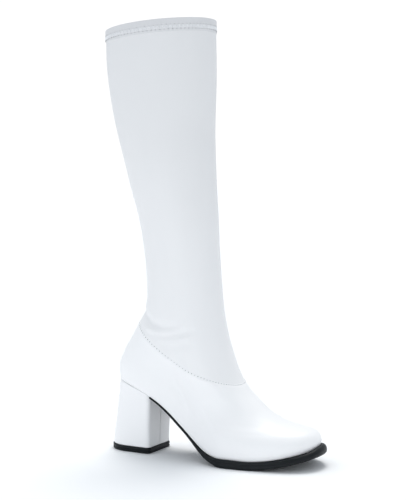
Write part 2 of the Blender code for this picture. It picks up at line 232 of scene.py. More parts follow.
# The leathers, cloths and threads, by the name of their colour
LEATHERS = {
    # name, shade as a share of the colour, shader values, grain values
    "foot": (
        "glossy white leather",
        0.96,
        {"bump": 0.10, "coat": 0.30, "coat_roughness": 0.42},
        {"Roughness": 0.42, "Grain Scale": 1500.0, "Grain Depth": 0.10, "Soft Depth": 0.5, "Pucker": 0.5},
    ),
    # The shaft has painted shade: from its colour at the ankle it darkens up the leg to its shade, 0.89 of
    # it, at the calf
    "shaft": (
        "white stretch leather",
        0.89,
        {"bump": 0.12, "coat": 0.10, "coat_roughness": 0.35},
        {
            "Roughness": 0.46,
            "Grain Scale": 1500.0,
            "Grain Depth": 0.16,
            "Soft Depth": 0.45,
            "Drift": 0.15,
            "Start": 0.0,
            # painted shade up the leg, at full strength
            "Stretch": 1.0,
            "Pucker": 0.5,
        },
    ),
    "hem": (
        "white hem leather",
        0.93,
        {"bump": 0.16, "coat": 0.08, "coat_roughness": 0.35},
        {"Roughness": 0.48, "Grain Depth": 0.2, "Soft Scale": 240.0, "Soft Depth": 0.5, "Drift": 0.25},
    ),
    "heel": (
        "white heel cover",
        0.95,
        {"bump": 0.08, "coat": 0.30, "coat_roughness": 0.2},
        {"Roughness": 0.36, "Grain Scale": 1500.0, "Grain Depth": 0.10, "Soft Depth": 0.4},
    ),
    "lining": (
        "brushed lining",
        0.85,
        {"bump": 0.3, "specular": 0.2, "sheen": 0.25},
        {"Roughness": 0.9, "Grain Scale": 2600.0, "Grain Depth": 0.6, "Drift": 0.5},
    ),
    "insole": (
        "sock leather",
        0.9,
        {"bump": 0.25},
        {"Roughness": 0.62, "Grain Scale": 1100.0, "Grain Depth": 0.5, "Drift": 0.4},
    ),
    "thread": (
        "white thread",
        0.9,
        {"bump": 0.2},
        {"Roughness": 0.6, "Grain Scale": 4000.0, "Grain Depth": 0.5, "Soft Depth": 0.0, "Drift": 0.1},
    ),
    # The needle holes are real; their dark beads are painted shade, the shade inside each hole as a dark
    # colour
    "hole": (
        "needle holes",
        0.9,
        {"bump": 0.0, "specular": 0.1},
        {"Roughness": 0.9, "Grain Depth": 0.0, "Soft Depth": 0.0},
    ),
}

# The white paper under the boot and the white room round it
FLOOR_REACH = 30
PAPER = (0.945, 0.955, 0.970, 1.0)
ROOM_SEEN = 1.05
ROOM_LIGHT = (0.905, 0.955, 1.0, 1.0)

# The soft key light overhead, in degrees, and the low white card by the camera, in metres
KEY_TURN = (-18, -6, 0)
KEY_WIDTH = 26
KEY_COLOUR = (1.0, 0.975, 0.945)
CARD_PLACE = (0.12, -0.62, 0.06)
CARD_AIM = (0.07, 0, 0.13)
CARD_SIZE = (0.55, 0.16)

PHOTO_HEIGHT = 500
SENSOR_HEIGHT = 36.0

# Creases at the ankle, on each side of the leg. Places are shares of the ankle's depth forward
# from its back and of the ankle's rise up from the seat; depth and width are in metres, and a
# ridge has a negative depth.
ANKLE_CREASES = (
    # depth, width, ((forward, up), ...)
    (
        0.00270,
        0.0046,
        ((-0.10, 0.80), (0.04, 0.712), (0.17, 0.650), (0.30, 0.612), (0.42, 0.598), (0.66, 0.628)),
    ),
    (-0.00110, 0.0046, ((0.02, 0.610), (0.16, 0.560), (0.30, 0.552), (0.48, 0.566), (0.70, 0.600))),
    (0.00165, 0.0036, ((0.16, 0.520), (0.32, 0.512), (0.48, 0.514), (0.66, 0.548), (0.86, 0.590))),
    (-0.00080, 0.0042, ((0.36, 0.470), (0.56, 0.478), (0.80, 0.520))),
    (0.00095, 0.0048, ((0.38, 0.425), (0.58, 0.420), (0.84, 0.465))),
)

# How quickly a crease fades to its ends, how deep it still is at its back end, and how deep the
# inner side's creases are beside the outer side's
CREASE_FADING = 0.6
CREASE_START = 0.55
INNER_CREASES = 0.75

# Soft hollows at the sides of the vamp where the foot bends, in shares of the foot's length
# along and of the ankle's rise up
VAMP_HOLLOWS = (
    # along, up, depth, length, height
    (0.605, 0.53, 0.0013, 0.019, 0.012),
    (0.660, 0.33, 0.0007, 0.016, 0.010),
    (0.470, 0.36, 0.0008, 0.030, 0.010),
)

# Slow waves up the shaft, in radians a metre, and how far above the ankle they have risen
WAVES = (
    # up, forward, start, depth
    (46.0, 22.0, 0.0, 0.00025),
    (91.0, -40.0, 1.3, 0.00012),
)
WAVE_RISE = 0.05


def length(name, text, default, precision=4):
    """A length in metres that a user may change."""
    return FloatProperty(name=name, description=text, default=default, unit="LENGTH", precision=precision)


def number(name, text, default):
    """A plain number that a user may change."""
    return FloatProperty(name=name, description=text, default=default)


def colour(name, text, default):
    """A linear colour that a user may change."""
    return FloatVectorProperty(
        name=name, description=text, default=default, size=3, subtype="COLOR", min=0, max=1
    )


class BootSizes(PropertyGroup):
    """The driving sizes of the boot."""

    foot_length: length("Foot length", "Length of the last", 0.227)
    ball_width: length("Ball width", "Width of the last at the ball", 0.082)
    heel_width: length("Heel width", "Width of the last at the heel", 0.056)
    waist_outer: length("Outer waist", "Half width at the waist, outer side", 0.029)
    waist_inner: length("Inner waist", "Half width at the waist, inner side", 0.0245)
    heel_height: length("Heel height", "Height of the last's seat at the back", 0.0788)
    toe_spring: length("Toe spring", "Rise of the tread at the toe", 0.0115)
    toe_swing: length("Toe swing", "How far the toe turns to the inner side", 0.011)
    ankle_rise: length("Ankle rise", "Height of the ankle above the seat", 0.0999)
    ankle_depth: length("Ankle depth", "Front to back at the ankle", 0.083)
    ankle_width: length("Ankle width", "Side to side at the ankle", 0.070)
    ankle_centre: length("Ankle centre", "Middle of the ankle, from the heel's back", 0.0784)
    calf_depth: length("Calf depth", "Front to back at the calf", 0.121)
    calf_width: length("Calf width", "Side to side at the calf", 0.102)
    backward_lean: length("Backward lean", "How far the shaft leans back", 0.0290)
    boot_height: length("Boot height", "Height of the collar at the front", 0.459)
    collar_drop: length("Collar drop", "How much lower the collar is at the back", 0.010)
    shaft_wall: length("Shaft wall", "Thickness of the shaft's wall", 0.0014)
    foot_overlap: length("Foot overlap", "How far the foot stands out from the shaft", 0.0008)
    foot_edge: length("Foot edge", "How far the thinned edge of the foot stands out", 0.00016, 5)
    thinned: length("Thinned band", "Width of the foot's thinned edge", 0.0040)
    seam_dip: length("Seam dip", "How much lower the seam runs at the sides", 0.0028)
    hem_height: length("Hem height", "Depth of the folded hem", 0.0135)
    hem_step: length("Hem step", "How far the hem stands out from the shaft", 0.0007)
    hem_edge: length("Hem edge", "How far the hem's pressed lower edge stands out", 0.00018, 5)
    lasting_margin: length("Lasting margin", "Width turned in under the insole", 0.009)
    lasted_thickness: length("Lasted thickness", "Thickness of the turned margin", 0.0012)
    feather_radius: length("Feather radius", "Rounding of the lower edge", 0.0012)
    insole_thickness: length("Insole thickness", "Thickness of the sock", 0.0020)
    clearance: length("Clearance", "Gap between neighbours", 0.0003)


class SoleSizes(PropertyGroup):
    """The sizes of outsole and heel."""

    thickness: length("Sole thickness", "Sole under the ball", 0.0078)
    waist_thickness: length("Waist thickness", "Sole under the waist", 0.0028)
    breast_thickness: length("Breast thickness", "Sole where it meets the heel", 0.0014)
    overhang: length("Overhang", "Sole edge beyond the upper at the forefoot", 0.0040)
    toe_overhang: length("Toe overhang", "Sole edge beyond the upper at the toe", 0.0082)
    waist_overhang: length("Waist overhang", "Sole edge beyond the upper at the waist", 0.0013)
    lip_height: length("Lip height", "Lip above the feather edge", 0.0022)
    toe_lip_height: length("Toe lip height", "Lip above the feather edge at the toe", 0.0034)
    breast_at: length("Breast", "Heel breast, from the heel's back", 0.0515)
    heel_flare: length("Heel flare", "How far the heel's base reaches back", 0.0077)
    heel_base_width: length("Heel base width", "Width of the heel at the lift", 0.046)
    breast_rake: length("Breast rake", "How far the breast leans", 0.0045)
    heel_taper: number("Heel taper", "How late the heel widens to the seat", 2.4)
    base_widest: number("Widest", "Share of the base's length where it has its full width", 0.48)
    heel_corner: length("Heel corner", "Rounding of the breast's corners", 0.0045)
    heel_rim: length("Heel rim", "Heel cover beyond the feather edge", 0.0006)
    lift_thickness: length("Lift thickness", "Thickness of the top piece", 0.0062)


class StitchSizes(PropertyGroup):
    """Thread and stitches."""

    seam_pitch: length("Seam pitch", "From stitch to stitch along the seam", 0.0033, 5)
    seam_inset: length("Seam inset", "Stitches below the foot's edge", 0.0009, 5)
    zigzag_pitch: length("Zigzag pitch", "From zig to zig along the hem", 0.0042, 5)
    zigzag_height: length("Zigzag height", "Height of the zigzag row", 0.0046, 5)
    zigzag_up: length("Zigzag place", "Middle of the row above the hem's lower edge", 0.0046, 5)
    thread: length("Thread", "Radius of the seam's thread", 0.00026, 5)
    zigzag_thread: length("Zigzag thread", "Radius of the hem's stretch thread", 0.00036, 5)
    hole: length("Needle hole", "Radius of a needle hole", 0.00052, 5)


class BootColours(PropertyGroup):
    """Linear colours of the materials."""

    # The shaft's colour at the ankle; painted shade darkens it up the leg
    shaft: colour("Shaft", "Stretch faux leather, where it is stretched least", (0.860, 0.860, 0.870))
    hem: colour("Hem", "Stretch faux leather of the hem", (0.700, 0.700, 0.715))
    foot: colour("Foot", "Glossy faux leather", (0.926, 0.926, 0.936))
    heel: colour("Heel cover", "Cover of the heel block", (0.926, 0.926, 0.936))
    lining: colour("Lining", "Brushed lining", (0.70, 0.70, 0.71))
    insole: colour("Insole", "Sock", (0.74, 0.73, 0.70))
    thread: colour("Thread", "Sewing thread", (0.92, 0.93, 0.95))
    hole: colour("Needle holes", "Shade in the needle holes", (0.17, 0.18, 0.19))
    sole: colour("Sole", "Sole and lift", (0.0045, 0.0065, 0.0085))


class StudioSizes(PropertyGroup):
    """Camera and light."""

    azimuth: number("Azimuth", "Camera turn from the side, in degrees", 29.094)
    tilt: number("Tilt", "Camera tilt down, in degrees", 3.827)
    distance: length("Distance", "From the camera to the boot", 1.27294)
    camera_height: length("Camera height", "Above the floor", 0.30405)
    aim_x: length("Aim", "Point the camera stands round, along the boot", 0.08081)
    focal_pixels: number("Focal length", "In pixels of the photograph", 1215.5)
    ambient: number("Ambient", "Light from all round", 0.791)
    lean: number("Lean", "How much brighter the room is on the left", 0.05)
    card: number("Card", "Strength of the low card in front, in watts", 0.368)
    sun: number("Key light", "Strength of the soft key light overhead", 1.3)


def ease(share):
    """A smooth step from 0 to 1."""
    share = np.clip(share, 0.0, 1.0)
    return share * share * (3 - 2 * share)


def mix(start, end, share):
    """A value between two."""
    return start + (end - start) * share


def ease_over(span, along):
    """A smooth step from 0 where the span begins to 1 where it ends."""
    start, end = span
    return ease((along - start) / (end - start))


def curve_through(places, values, at):
    """Values on a smooth curve through a table."""
    places = np.asarray(places, float)
    values = np.asarray(values, float)
    at = np.clip(np.asarray(at, float), places[0], places[-1])
    slopes = np.gradient(values, places, axis=0)
    index = np.clip(np.searchsorted(places, at, side="right") - 1, 0, len(places) - 2)
    step = places[index + 1] - places[index]
    share = (at - places[index]) / step
    if values.ndim > 1:
        step = step[..., None]
        share = share[..., None]
    start, end = values[index], values[index + 1]
    return (
        start * (1 + 2 * share) * (1 - share) ** 2
        + slopes[index] * step * share * (1 - share) ** 2
        + end * share * share * (3 - 2 * share)
        + slopes[index + 1] * step * share * share * (share - 1)
    )


class Last:
    """The shape of foot and leg, from the boot's sizes."""

    def __init__(self, context):
        self.size = context.scene.boot_sizes
        self.sole = context.scene.boot_sole
        self.seat_places, self.seat_rises = zip(*SEAT_RISE)
        self.ankle_height = self.size.heel_height + self.size.ankle_rise
        self.origin = (self.sole.breast_at - self.sole.breast_rake - self.sole.heel_flare) / 2
        self.rows, self.ups = self.table()
        self.levels = np.linspace(0, self.ups[-1], SKIN_LEVELS)
        self.level_rows = smoothed(curve_through(self.ups, self.rows, self.levels), SKIN_PASSES)
        self.seam = self.ups[SEAM_RING]
        self.top = self.ups[-1]
        self.hem = self.top - self.size.hem_height

    def tread(self, x):
        """Height of the tread above the floor."""
        toe = np.clip((x / self.size.foot_length - TREAD_FRONT) / (1 - TREAD_FRONT), 0.0, None)
        return self.size.toe_spring * toe**SPRING_CURVE

    def underside(self, x):
        """Height of the last's underside."""
        share = np.asarray(x) / self.size.foot_length
        rise = np.clip(curve_through(self.seat_places, self.seat_rises, share), 0.0, None)
        return self.sole.thickness + (self.size.heel_height - self.sole.thickness) * rise + self.tread(x)

    def swing(self, x):
        """How far the foot's middle line has turned to the inner side."""
        return self.size.toe_swing * ease_over(SWING_SPAN, x / self.size.foot_length)

    def half_width(self, along, side, out=0.0):
        """Half the sole's width at a share of its length, on the outer (-1) or inner (+1) side."""
        ball_at = np.where(side > 0, INNER_BALL_AT, OUTER_BALL_AT)
        waist = np.where(side > 0, self.size.waist_inner, self.size.waist_outer)
        width = mix(self.size.heel_width / 2, waist, ease((along - HEEL_WIDEST) / (WAIST_AT - HEEL_WIDEST)))
        width = mix(width, self.size.ball_width / 2, ease((along - WAIST_AT) / (ball_at - WAIST_AT)))
        back = np.clip(1 - along / HEEL_WIDEST, 0.0, 1.0)
        front = np.clip((along - (1 - FRONT_REACH)) / FRONT_REACH, 0.0, 1.0)
        width = (width + out) * (1 - back**HEEL_ROUNDNESS) ** (1 / HEEL_ROUNDNESS)
        return width * (1 - front**TOE_SQUARENESS) ** (1 / TOE_SQUARENESS)

    def table(self):
        """Every ring's sizes in metres, and how far up the wall each ring lies."""
        size = self.size
        rows = []
        for back_x, back_up, front_x, front_up, camber, sag, heel, toe, leg in FOOT_RINGS:
            back, front = back_x * size.foot_length, front_x * size.foot_length
            back_z = mix(self.underside(back), self.ankle_height, back_up)
            front_z = mix(self.underside(front), self.ankle_height, front_up)
            sag = sag * size.ankle_rise
            rows.append((back, back_z, front, front_z, camber, sag, heel, toe, leg, size.ankle_width / 2))
        for up, deeper, wider, lean in SHAFT_RINGS:
            depth = mix(size.ankle_depth, size.calf_depth, deeper)
            width = mix(size.ankle_width, size.calf_width, wider)
            centre = size.ankle_centre - size.backward_lean * lean
            front_z = mix(self.ankle_height, size.boot_height, up)
            back_z = front_z - size.collar_drop * up
            rows.append((centre - depth / 2, back_z, centre + depth / 2, front_z, 0, 0, 1, 1, 1, width / 2))
        rows = np.array(rows)
        steps = np.diff(rows, axis=0)
        lengths = (np.hypot(steps[:, 0], steps[:, 1]) + np.hypot(steps[:, 2], steps[:, 3])) / 2
        return rows, np.concatenate([[0], np.cumsum(lengths)])

    def ring(self, row, turn, out=0.0):
        """Points round one ring of the skin: turn 0 is at the toe or shin, the outer side is next."""
        back_x, back_z, front_x, front_z, camber, sag, heel, toe, leg, leg_half = row
        along = (1 + np.cos(turn)) / 2
        side = np.where(np.sin(turn) > 0, -1.0, 1.0)
        x = mix(back_x, front_x, along)
        chord = mix(self.underside(back_x), self.underside(front_x), along)
        z = mix(back_z, front_z, along) + camber * (self.underside(x) - chord) - sag * 4 * along * (1 - along)
        foot = side * self.half_width(along, side, out) * mix(heel, toe, ease_over(WIDTHS_SPAN, along))
        oval = -leg_half * np.sin(turn)
        y = mix(foot + self.swing(x), oval, leg)
        return np.stack([x + out * np.cos(turn) ** 3 - self.origin, y, z], axis=-1)

    def sole_loop(self, turn, out, height):
        """The underside's outline, widened by out, at a height above the underside."""
        loop = self.ring(self.rows[0], turn, out)
        loop[:, 2] = self.underside(loop[:, 0] + self.origin) + height
        return loop

    def skin(self, places, turn):
        """The skin's points and outward normals at places up the wall, for each ring or each point."""
        places = np.asarray(places, float)
        if places.ndim == 1:
            places = np.repeat(places[:, None], len(turn), axis=1)
        grid = self.ring([np.interp(places, self.levels, column) for column in self.level_rows.T], turn)
        return grid, outward(grid)

    def creased(self, places, turn):
        """The skin's points with its creases and hollows, and its outward normals."""
        grid, normal = self.skin(places, turn)
        return grid + normal * relief(self, grid)[..., None], normal

    def seam_line(self, turn):
        """How far up the wall the foot's edge runs, a little lower at the sides."""
        return self.seam + self.size.seam_dip * (SEAM_LIFT - np.sin(turn) ** 2 * (1 - np.cos(turn)))

    def stitch_count(self, turn, pitch):
        """How many stitches lie between turn 0 and each turn along the seam, and how many in all."""
        line = self.seam_line(turn)
        path, _ = self.skin(np.stack([line - NEAR, line]), turn)
        steps = np.linalg.norm(np.roll(path[1], -1, axis=0) - path[1], axis=1)
        gone = np.concatenate([[0], np.cumsum(steps)])
        return gone / gone[-1] * round(gone[-1] / pitch)

    def lip_reach(self):
        """How far out from the feather edge the skin stands at the height of the toe's lip."""
        toe = self.rows[:, 3] - self.underside(self.rows[:, 2])
        up = np.interp(self.sole.toe_lip_height, toe, self.ups)
        turn = np.array([0.0, math.pi / 2])
        low = self.ring(self.rows[0], turn)
        high = self.ring(curve_through(self.ups, self.rows, [up])[0], turn)
        bulge = np.abs(high - low)
        return self.size.foot_overlap + self.size.clearance + max(bulge[0, 0], bulge[1, 1])


def outward(grid):
    """Unit normals of a grid of rings that runs up the boot and round it."""
    around = np.roll(grid, -1, axis=1) - np.roll(grid, 1, axis=1)
    up = np.gradient(grid, axis=0)
    normal = unit(np.cross(up, around))
    middle = grid.mean(axis=1, keepdims=True)
    facing = np.sign(np.sum(normal * (grid - middle), axis=(1, 2)))
    return normal * facing[:, None, None]


def unit(vectors):
    """Vectors of length one."""
    return vectors / np.linalg.norm(vectors, axis=-1, keepdims=True)


def smoothed(grid, passes):
    """A grid whose rings are evened out with their neighbours up and down, its ends kept."""
    grid = grid.copy()
    for _ in range(passes):
        grid[1:-1] = (grid[:-2] + 2 * grid[1:-1] + grid[2:]) / 4
    return grid


def turns(count):
    """Even turns once round the boot."""
    return np.arange(count) * 2 * math.pi / count


def near_line(x, z, points):
    """Distance to a line of points in a side view, and the share of its length where it is nearest."""
    best = np.full(x.shape, 1e9)
    where = np.zeros(x.shape)
    points = np.array(points)
    pieces = np.linalg.norm(np.diff(points, axis=0), axis=1)
    total = pieces.sum()
    gone = 0.0
    for (ax, az), (bx, bz), piece in zip(points[:-1], points[1:], pieces):
        share = np.clip(((x - ax) * (bx - ax) + (z - az) * (bz - az)) / piece**2, 0.0, 1.0)
        distance = np.hypot(x - mix(ax, bx, share), z - mix(az, bz, share))
        closer = distance < best
        best = np.where(closer, distance, best)
        where = np.where(closer, (gone + share * piece) / total, where)
        gone += piece
    return best, where


def rounded_line(points, steps=6):
    """A given line with more points, on a smooth curve."""
    places = np.arange(len(points))
    return curve_through(places, points, np.linspace(0, len(points) - 1, (len(points) - 1) * steps + 1))


def relief(last, grid):
    """How far the leather lies off its even skin: the ankle's creases and the vamp's soft hollows."""
    size = last.size
    x, y, z = grid[..., 0], grid[..., 1], grid[..., 2]
    back = size.ankle_centre - size.ankle_depth / 2 - last.origin
    off = np.zeros(x.shape)
    for depth, width, points in ANKLE_CREASES:
        line = [
            (back + forward * size.ankle_depth, size.heel_height + up * size.ankle_rise)
            for forward, up in rounded_line(points)
        ]
        distance, share = near_line(x, z, line)
        ends = np.clip(np.sin(np.pi * np.clip(share, 0.0, 1.0)), 0.0, 1.0) ** CREASE_FADING
        ends = np.maximum(ends, np.where(share < 0.5, CREASE_START, 0.0))
        side = np.where(y < 0, 1.0, INNER_CREASES)
        off -= depth * ends * side * np.exp(-((distance / width) ** 2))
    for along, up, depth, long, high in VAMP_HOLLOWS:
        middle_x = along * size.foot_length - last.origin
        middle_z = last.sole.thickness + up * size.ankle_rise
        reach = ((x - middle_x) / long) ** 2 + ((z - middle_z) / high) ** 2
        off -= depth * np.exp(-reach)
    shin = np.clip((z - last.ankle_height) / WAVE_RISE, 0.0, 1.0)
    for up, forward, start, depth in WAVES:
        off += np.sin(z * up + x * forward + start) * depth * shin
    return off


def linked(name, data):
    """A new object of the scene."""
    made = bpy.data.objects.new(name, data)
    bpy.context.scene.collection.objects.link(made)
    return made


def build(name, loops, closed=False, caps=False, seam=None):
    """A mesh object from loops of as many points: a ring-shaped shell or a capped solid.

    Seam holds the stitch count round the loops and each loop's height above the seam.
    """
    count = len(loops[0])
    pairs = list(zip(range(len(loops) - 1), range(1, len(loops))))
    if closed:
        pairs.append((len(loops) - 1, 0))
    faces = []
    for lower, upper in pairs:
        a, b = lower * count, upper * count
        faces += [(a + i, a + (i + 1) % count, b + (i + 1) % count, b + i) for i in range(count)]
    for base in (0, (len(loops) - 1) * count) if caps else ():
        faces += [
            (base + i, base + i + 1, base + (count - i - 1) % count, base + (count - i) % count)
            for i in range(1, (count - 1) // 2)
        ]
        faces.append((base, base + 1, base + count - 1))
        if count % 2 == 0:
            faces.append((base + count // 2 - 1, base + count // 2, base + count // 2 + 1))
    mesh = bpy.data.meshes.new(name)
    mesh.from_pydata(np.concatenate(loops).tolist(), [], faces)
    if seam is not None:
        stitches, heights = seam
        marks = [
            (stitches[i + step], heights[level], 0.0)
            for lower, upper in pairs
            for i in range(count)
            for step, level in ((0, lower), (1, lower), (1, upper), (0, upper))
        ]
        stored = mesh.attributes.new("seam", "FLOAT_VECTOR", "CORNER")
        stored.data.foreach_set("vector", np.array(marks, np.float32).ravel())
    shape = bmesh.new()
    shape.from_mesh(mesh)
    bmesh.ops.recalc_face_normals(shape, faces=shape.faces)
    shape.to_mesh(mesh)
    shape.free()
    mesh.shade_smooth()
    return linked(name, mesh)


def sharpen(obj, degrees):
    """Keeps the edges sharp where faces meet at more than an angle."""
    obj.data.set_sharp_from_angle(angle=math.radians(degrees))


def dress(piece, material):
    """Gives a piece its material, its slot and its place on the boot's one body."""
    piece.data.materials.clear()
    piece.data.materials.append(material)
    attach(piece, "root")


class Graph:
    """A node tree that is being made."""

    def __init__(self, tree):
        self.tree = tree

    def fill(self, node, inputs):
        """Gives inputs their values, or links them to another node's socket."""
        for name, value in inputs.items():
            if isinstance(value, bpy.types.NodeSocket):
                self.tree.links.new(value, node.inputs[name])
            else:
                node.inputs[name].default_value = value

    def add(self, kind, inputs=None, **settings):
        """A new node with its settings and inputs."""
        node = self.tree.nodes.new(kind)
        for name, value in settings.items():
            setattr(node, name, value)
        self.fill(node, inputs or {})
        return node

    def math(self, kind, first, second=0.0, clamp=False):
        """The result of a Math node."""
        return self.add("ShaderNodeMath", {0: first, 1: second}, operation=kind, use_clamp=clamp).outputs[0]

    def split(self, vector):
        """The parts of a vector."""
        return self.add("ShaderNodeSeparateXYZ", {"Vector": vector}).outputs

    def noise(self, place, scale, detail):
        """Noise at a place."""
        inputs = {"Vector": place, "Scale": scale, "Detail": detail}
        return self.add("ShaderNodeTexNoise", inputs).outputs["Fac"]

    def between(self, value, low, high):
        """How far a value has come from low to high, from 0 to 1."""
        inputs = {"Value": value, "From Min": low, "From Max": high}
        return self.add("ShaderNodeMapRange", inputs).outputs["Result"]

    def blend(self, share, first, second):
        """A colour between two."""
        inputs = {"Factor": share, "A": first, "B": second}
        return self.add("ShaderNodeMix", inputs, data_type="RGBA").outputs["Result"]


def group(name, inputs):
    """A shader node group with named inputs, which gives a colour, a roughness and a height."""
    tree = bpy.data.node_groups.new(name, "ShaderNodeTree")
    for label, default in inputs.items():
        kind = "NodeSocketColor" if isinstance(default, tuple) else "NodeSocketFloat"
        tree.interface.new_socket(name=label, in_out="INPUT", socket_type=kind).default_value = default
    for label, kind in (("Colour", "Color"), ("Roughness", "Float"), ("Height", "Float")):
        tree.interface.new_socket(name=label, in_out="OUTPUT", socket_type="NodeSocket" + kind)
    graph = Graph(tree)
    return graph, graph.add("NodeGroupInput").outputs, graph.add("NodeGroupOutput")


def leather_grain_group():
    """Fine pebbled grain, soft unevenness, a faint drift of tone and, where its input asks, painted shade
    that darkens the leather up the leg, for coated faux leather.
    """
    graph, start, end = group(
        "leather grain",
        {
            "Colour": (0.8, 0.8, 0.8, 1.0),
            "Shade": (0.7, 0.7, 0.7, 1.0),
            "Grain Scale": 1400.0,
            "Grain Depth": 0.15,
            "Soft Scale": 55.0,
            "Soft Depth": 0.3,
            "Roughness": 0.4,
            "Drift": 0.2,
            "Start": 0.35,
            # How strongly shade is painted on up the leg; none unless a leather asks for it
            "Stretch": 0.0,
            "Pucker": 0.0,
        },
    )
    place = graph.add("ShaderNodeTexCoord").outputs["Object"]
    cells = {"Vector": place, "Scale": start["Grain Scale"]}
    cells = graph.add("ShaderNodeTexVoronoi", cells, feature="SMOOTH_F1").outputs["Distance"]
    fine = graph.math("MULTIPLY", cells, start["Grain Depth"])
    broad = graph.math("MULTIPLY", graph.noise(place, start["Soft Scale"], 3.0), start["Soft Depth"])
    seam = graph.split(graph.add("ShaderNodeAttribute", attribute_name="seam").outputs["Vector"])
    gather = graph.math("COSINE", graph.math("MULTIPLY", seam["X"], 2 * math.pi))
    near = graph.math("MULTIPLY", seam["Y"], PUCKER_FADING)
    close = graph.math("EXPONENT", graph.math("MULTIPLY", graph.math("MULTIPLY", near, near), -1.0))
    pucker = graph.math("MULTIPLY", graph.math("MULTIPLY", gather, close), start["Pucker"])
    drift = graph.math("SUBTRACT", graph.noise(place, 14.0, 4.0), 0.5)
    drift = graph.math("MULTIPLY", drift, start["Drift"])
    # Painted shade: the colour turns darker from low on the leg up to the calf
    darkened_by_painted_shade = graph.between(graph.split(place)["Z"], PAINTED_SHADE_FROM, PAINTED_SHADE_TO)
    even = graph.math("ADD", graph.math("MULTIPLY", darkened_by_painted_shade, start["Stretch"]), start["Start"])
    shaded = graph.math("ADD", drift, even, True)
    outputs = {
        "Colour": graph.blend(shaded, start["Colour"], start["Shade"]),
        "Roughness": graph.math("ADD", graph.math("MULTIPLY", drift, 0.35), start["Roughness"], True),
        "Height": graph.math("ADD", graph.math("ADD", fine, broad), pucker),
    }
    graph.fill(end, outputs)
    return graph.tree


def rubber_group():
    """Moulded rubber: a fine dull grain with a few dusty, scuffed places."""
    graph, start, end = group(
        "moulded rubber",
        {
            "Colour": (0.01, 0.01, 0.01, 1.0),
            "Dust": (0.035, 0.038, 0.042, 1.0),
            "Dust Amount": 0.3,
            "Roughness": 0.38,
        },
    )
    place = graph.add("ShaderNodeTexCoord").outputs["Object"]
    patches = graph.between(graph.noise(place, 60.0, 6.0), 0.48, 0.72)
    dusty = graph.math("MULTIPLY", patches, start["Dust Amount"])
    outputs = {
        "Colour": graph.blend(dusty, start["Colour"], start["Dust"]),
        "Roughness": graph.math("ADD", graph.math("MULTIPLY", dusty, 0.5), start["Roughness"], True),
        "Height": graph.noise(place, 2200.0, 2.0),
    }
    graph.fill(end, outputs)
    return graph.tree


def finish(name, tree, values, bump, coat=0.0, coat_roughness=0.2, specular=0.5, sheen=0.0):
    """A material from a node group, whose outputs feed the shader."""
    made = bpy.data.materials.new(name)
    made.use_nodes = True
    graph = Graph(made.node_tree)
    effect = graph.add("ShaderNodeGroup", values, node_tree=tree).outputs
    raised = {"Height": effect["Height"], "Strength": bump, "Distance": BUMP_DISTANCE}
    inputs = {
        "Base Color": effect["Colour"],
        "Roughness": effect["Roughness"],
        "Normal": graph.add("ShaderNodeBump", raised).outputs["Normal"],
        "Coat Weight": coat,
        "Coat Roughness": coat_roughness,
        "Specular IOR Level": specular,
        "Sheen Weight": sheen,
    }
    graph.fill(made.node_tree.nodes["Principled BSDF"], inputs)
    return made


def node_group_of(name, maker):
    """A node group, made where there is none yet."""
    return bpy.data.node_groups.get(name) or maker()


def leather(context, part):
    """The leather, cloth or thread of a part, in its colour."""
    name, shade, look, grain = LEATHERS[part]
    tint = getattr(context.scene.boot_colours, part)
    values = {"Colour": (*tint, 1.0), "Shade": (*[light * shade for light in tint], 1.0), **grain}
    return finish(name, node_group_of("leather grain", leather_grain_group), values, **look)


def shared_leather(context, part):
    """The material of a part that more than one piece has."""
    return bpy.data.materials.get(LEATHERS[part][0]) or leather(context, part)


def rubber(context, name, dust, roughness, bump):
    """The black rubber of sole and lift."""
    values = {"Colour": (*context.scene.boot_colours.sole, 1.0), "Dust Amount": dust, "Roughness": roughness}
    return finish(name, node_group_of("moulded rubber", rubber_group), values, bump, specular=0.20)


def stitch_tree():
    """Geometry nodes that lay one rounded stitch on each point, along the seam and on its skin."""
    tree = bpy.data.node_groups.new("stitch row", "GeometryNodeTree")
    for label, kind in (("Points", "Geometry"), ("Thread", "Float"), ("Material", "Material")):
        tree.interface.new_socket(name=label, in_out="INPUT", socket_type="NodeSocket" + kind)
    tree.interface.new_socket(name="Stitches", in_out="OUTPUT", socket_type="NodeSocketGeometry")
    graph = Graph(tree)
    start = graph.add("NodeGroupInput").outputs

    def stored(name, kind="FLOAT_VECTOR"):
        """What each point keeps under a name."""
        node = graph.add("GeometryNodeInputNamedAttribute", {"Name": name}, data_type=kind)
        return node.outputs["Attribute"]

    bead = graph.add("GeometryNodeMeshUVSphere", {"Segments": 10, "Rings": 7, "Radius": 1.0})
    axes = {"Primary Axis": stored("stitch_along"), "Secondary Axis": stored("stitch_out")}
    turn = graph.add("FunctionNodeAxesToRotation", axes, primary_axis="X", secondary_axis="Z")
    half = graph.math("MULTIPLY", stored("stitch_length", "FLOAT"), 0.5)
    scale = graph.add("ShaderNodeCombineXYZ", {"X": half, "Y": start["Thread"], "Z": start["Thread"]})
    inputs = {
        "Points": start["Points"],
        "Instance": bead.outputs["Mesh"],
        "Rotation": turn.outputs["Rotation"],
        "Scale": scale.outputs["Vector"],
    }
    made = graph.add("GeometryNodeInstanceOnPoints", inputs).outputs["Instances"]
    made = graph.add("GeometryNodeRealizeInstances", {"Geometry": made}).outputs["Geometry"]
    made = graph.add("GeometryNodeSetShadeSmooth", {"Geometry": made}).outputs["Geometry"]
    inputs = {"Geometry": made, "Material": start["Material"]}
    made = graph.add("GeometryNodeSetMaterial", inputs).outputs["Geometry"]
    graph.add("NodeGroupOutput", {"Stitches": made})
    return tree


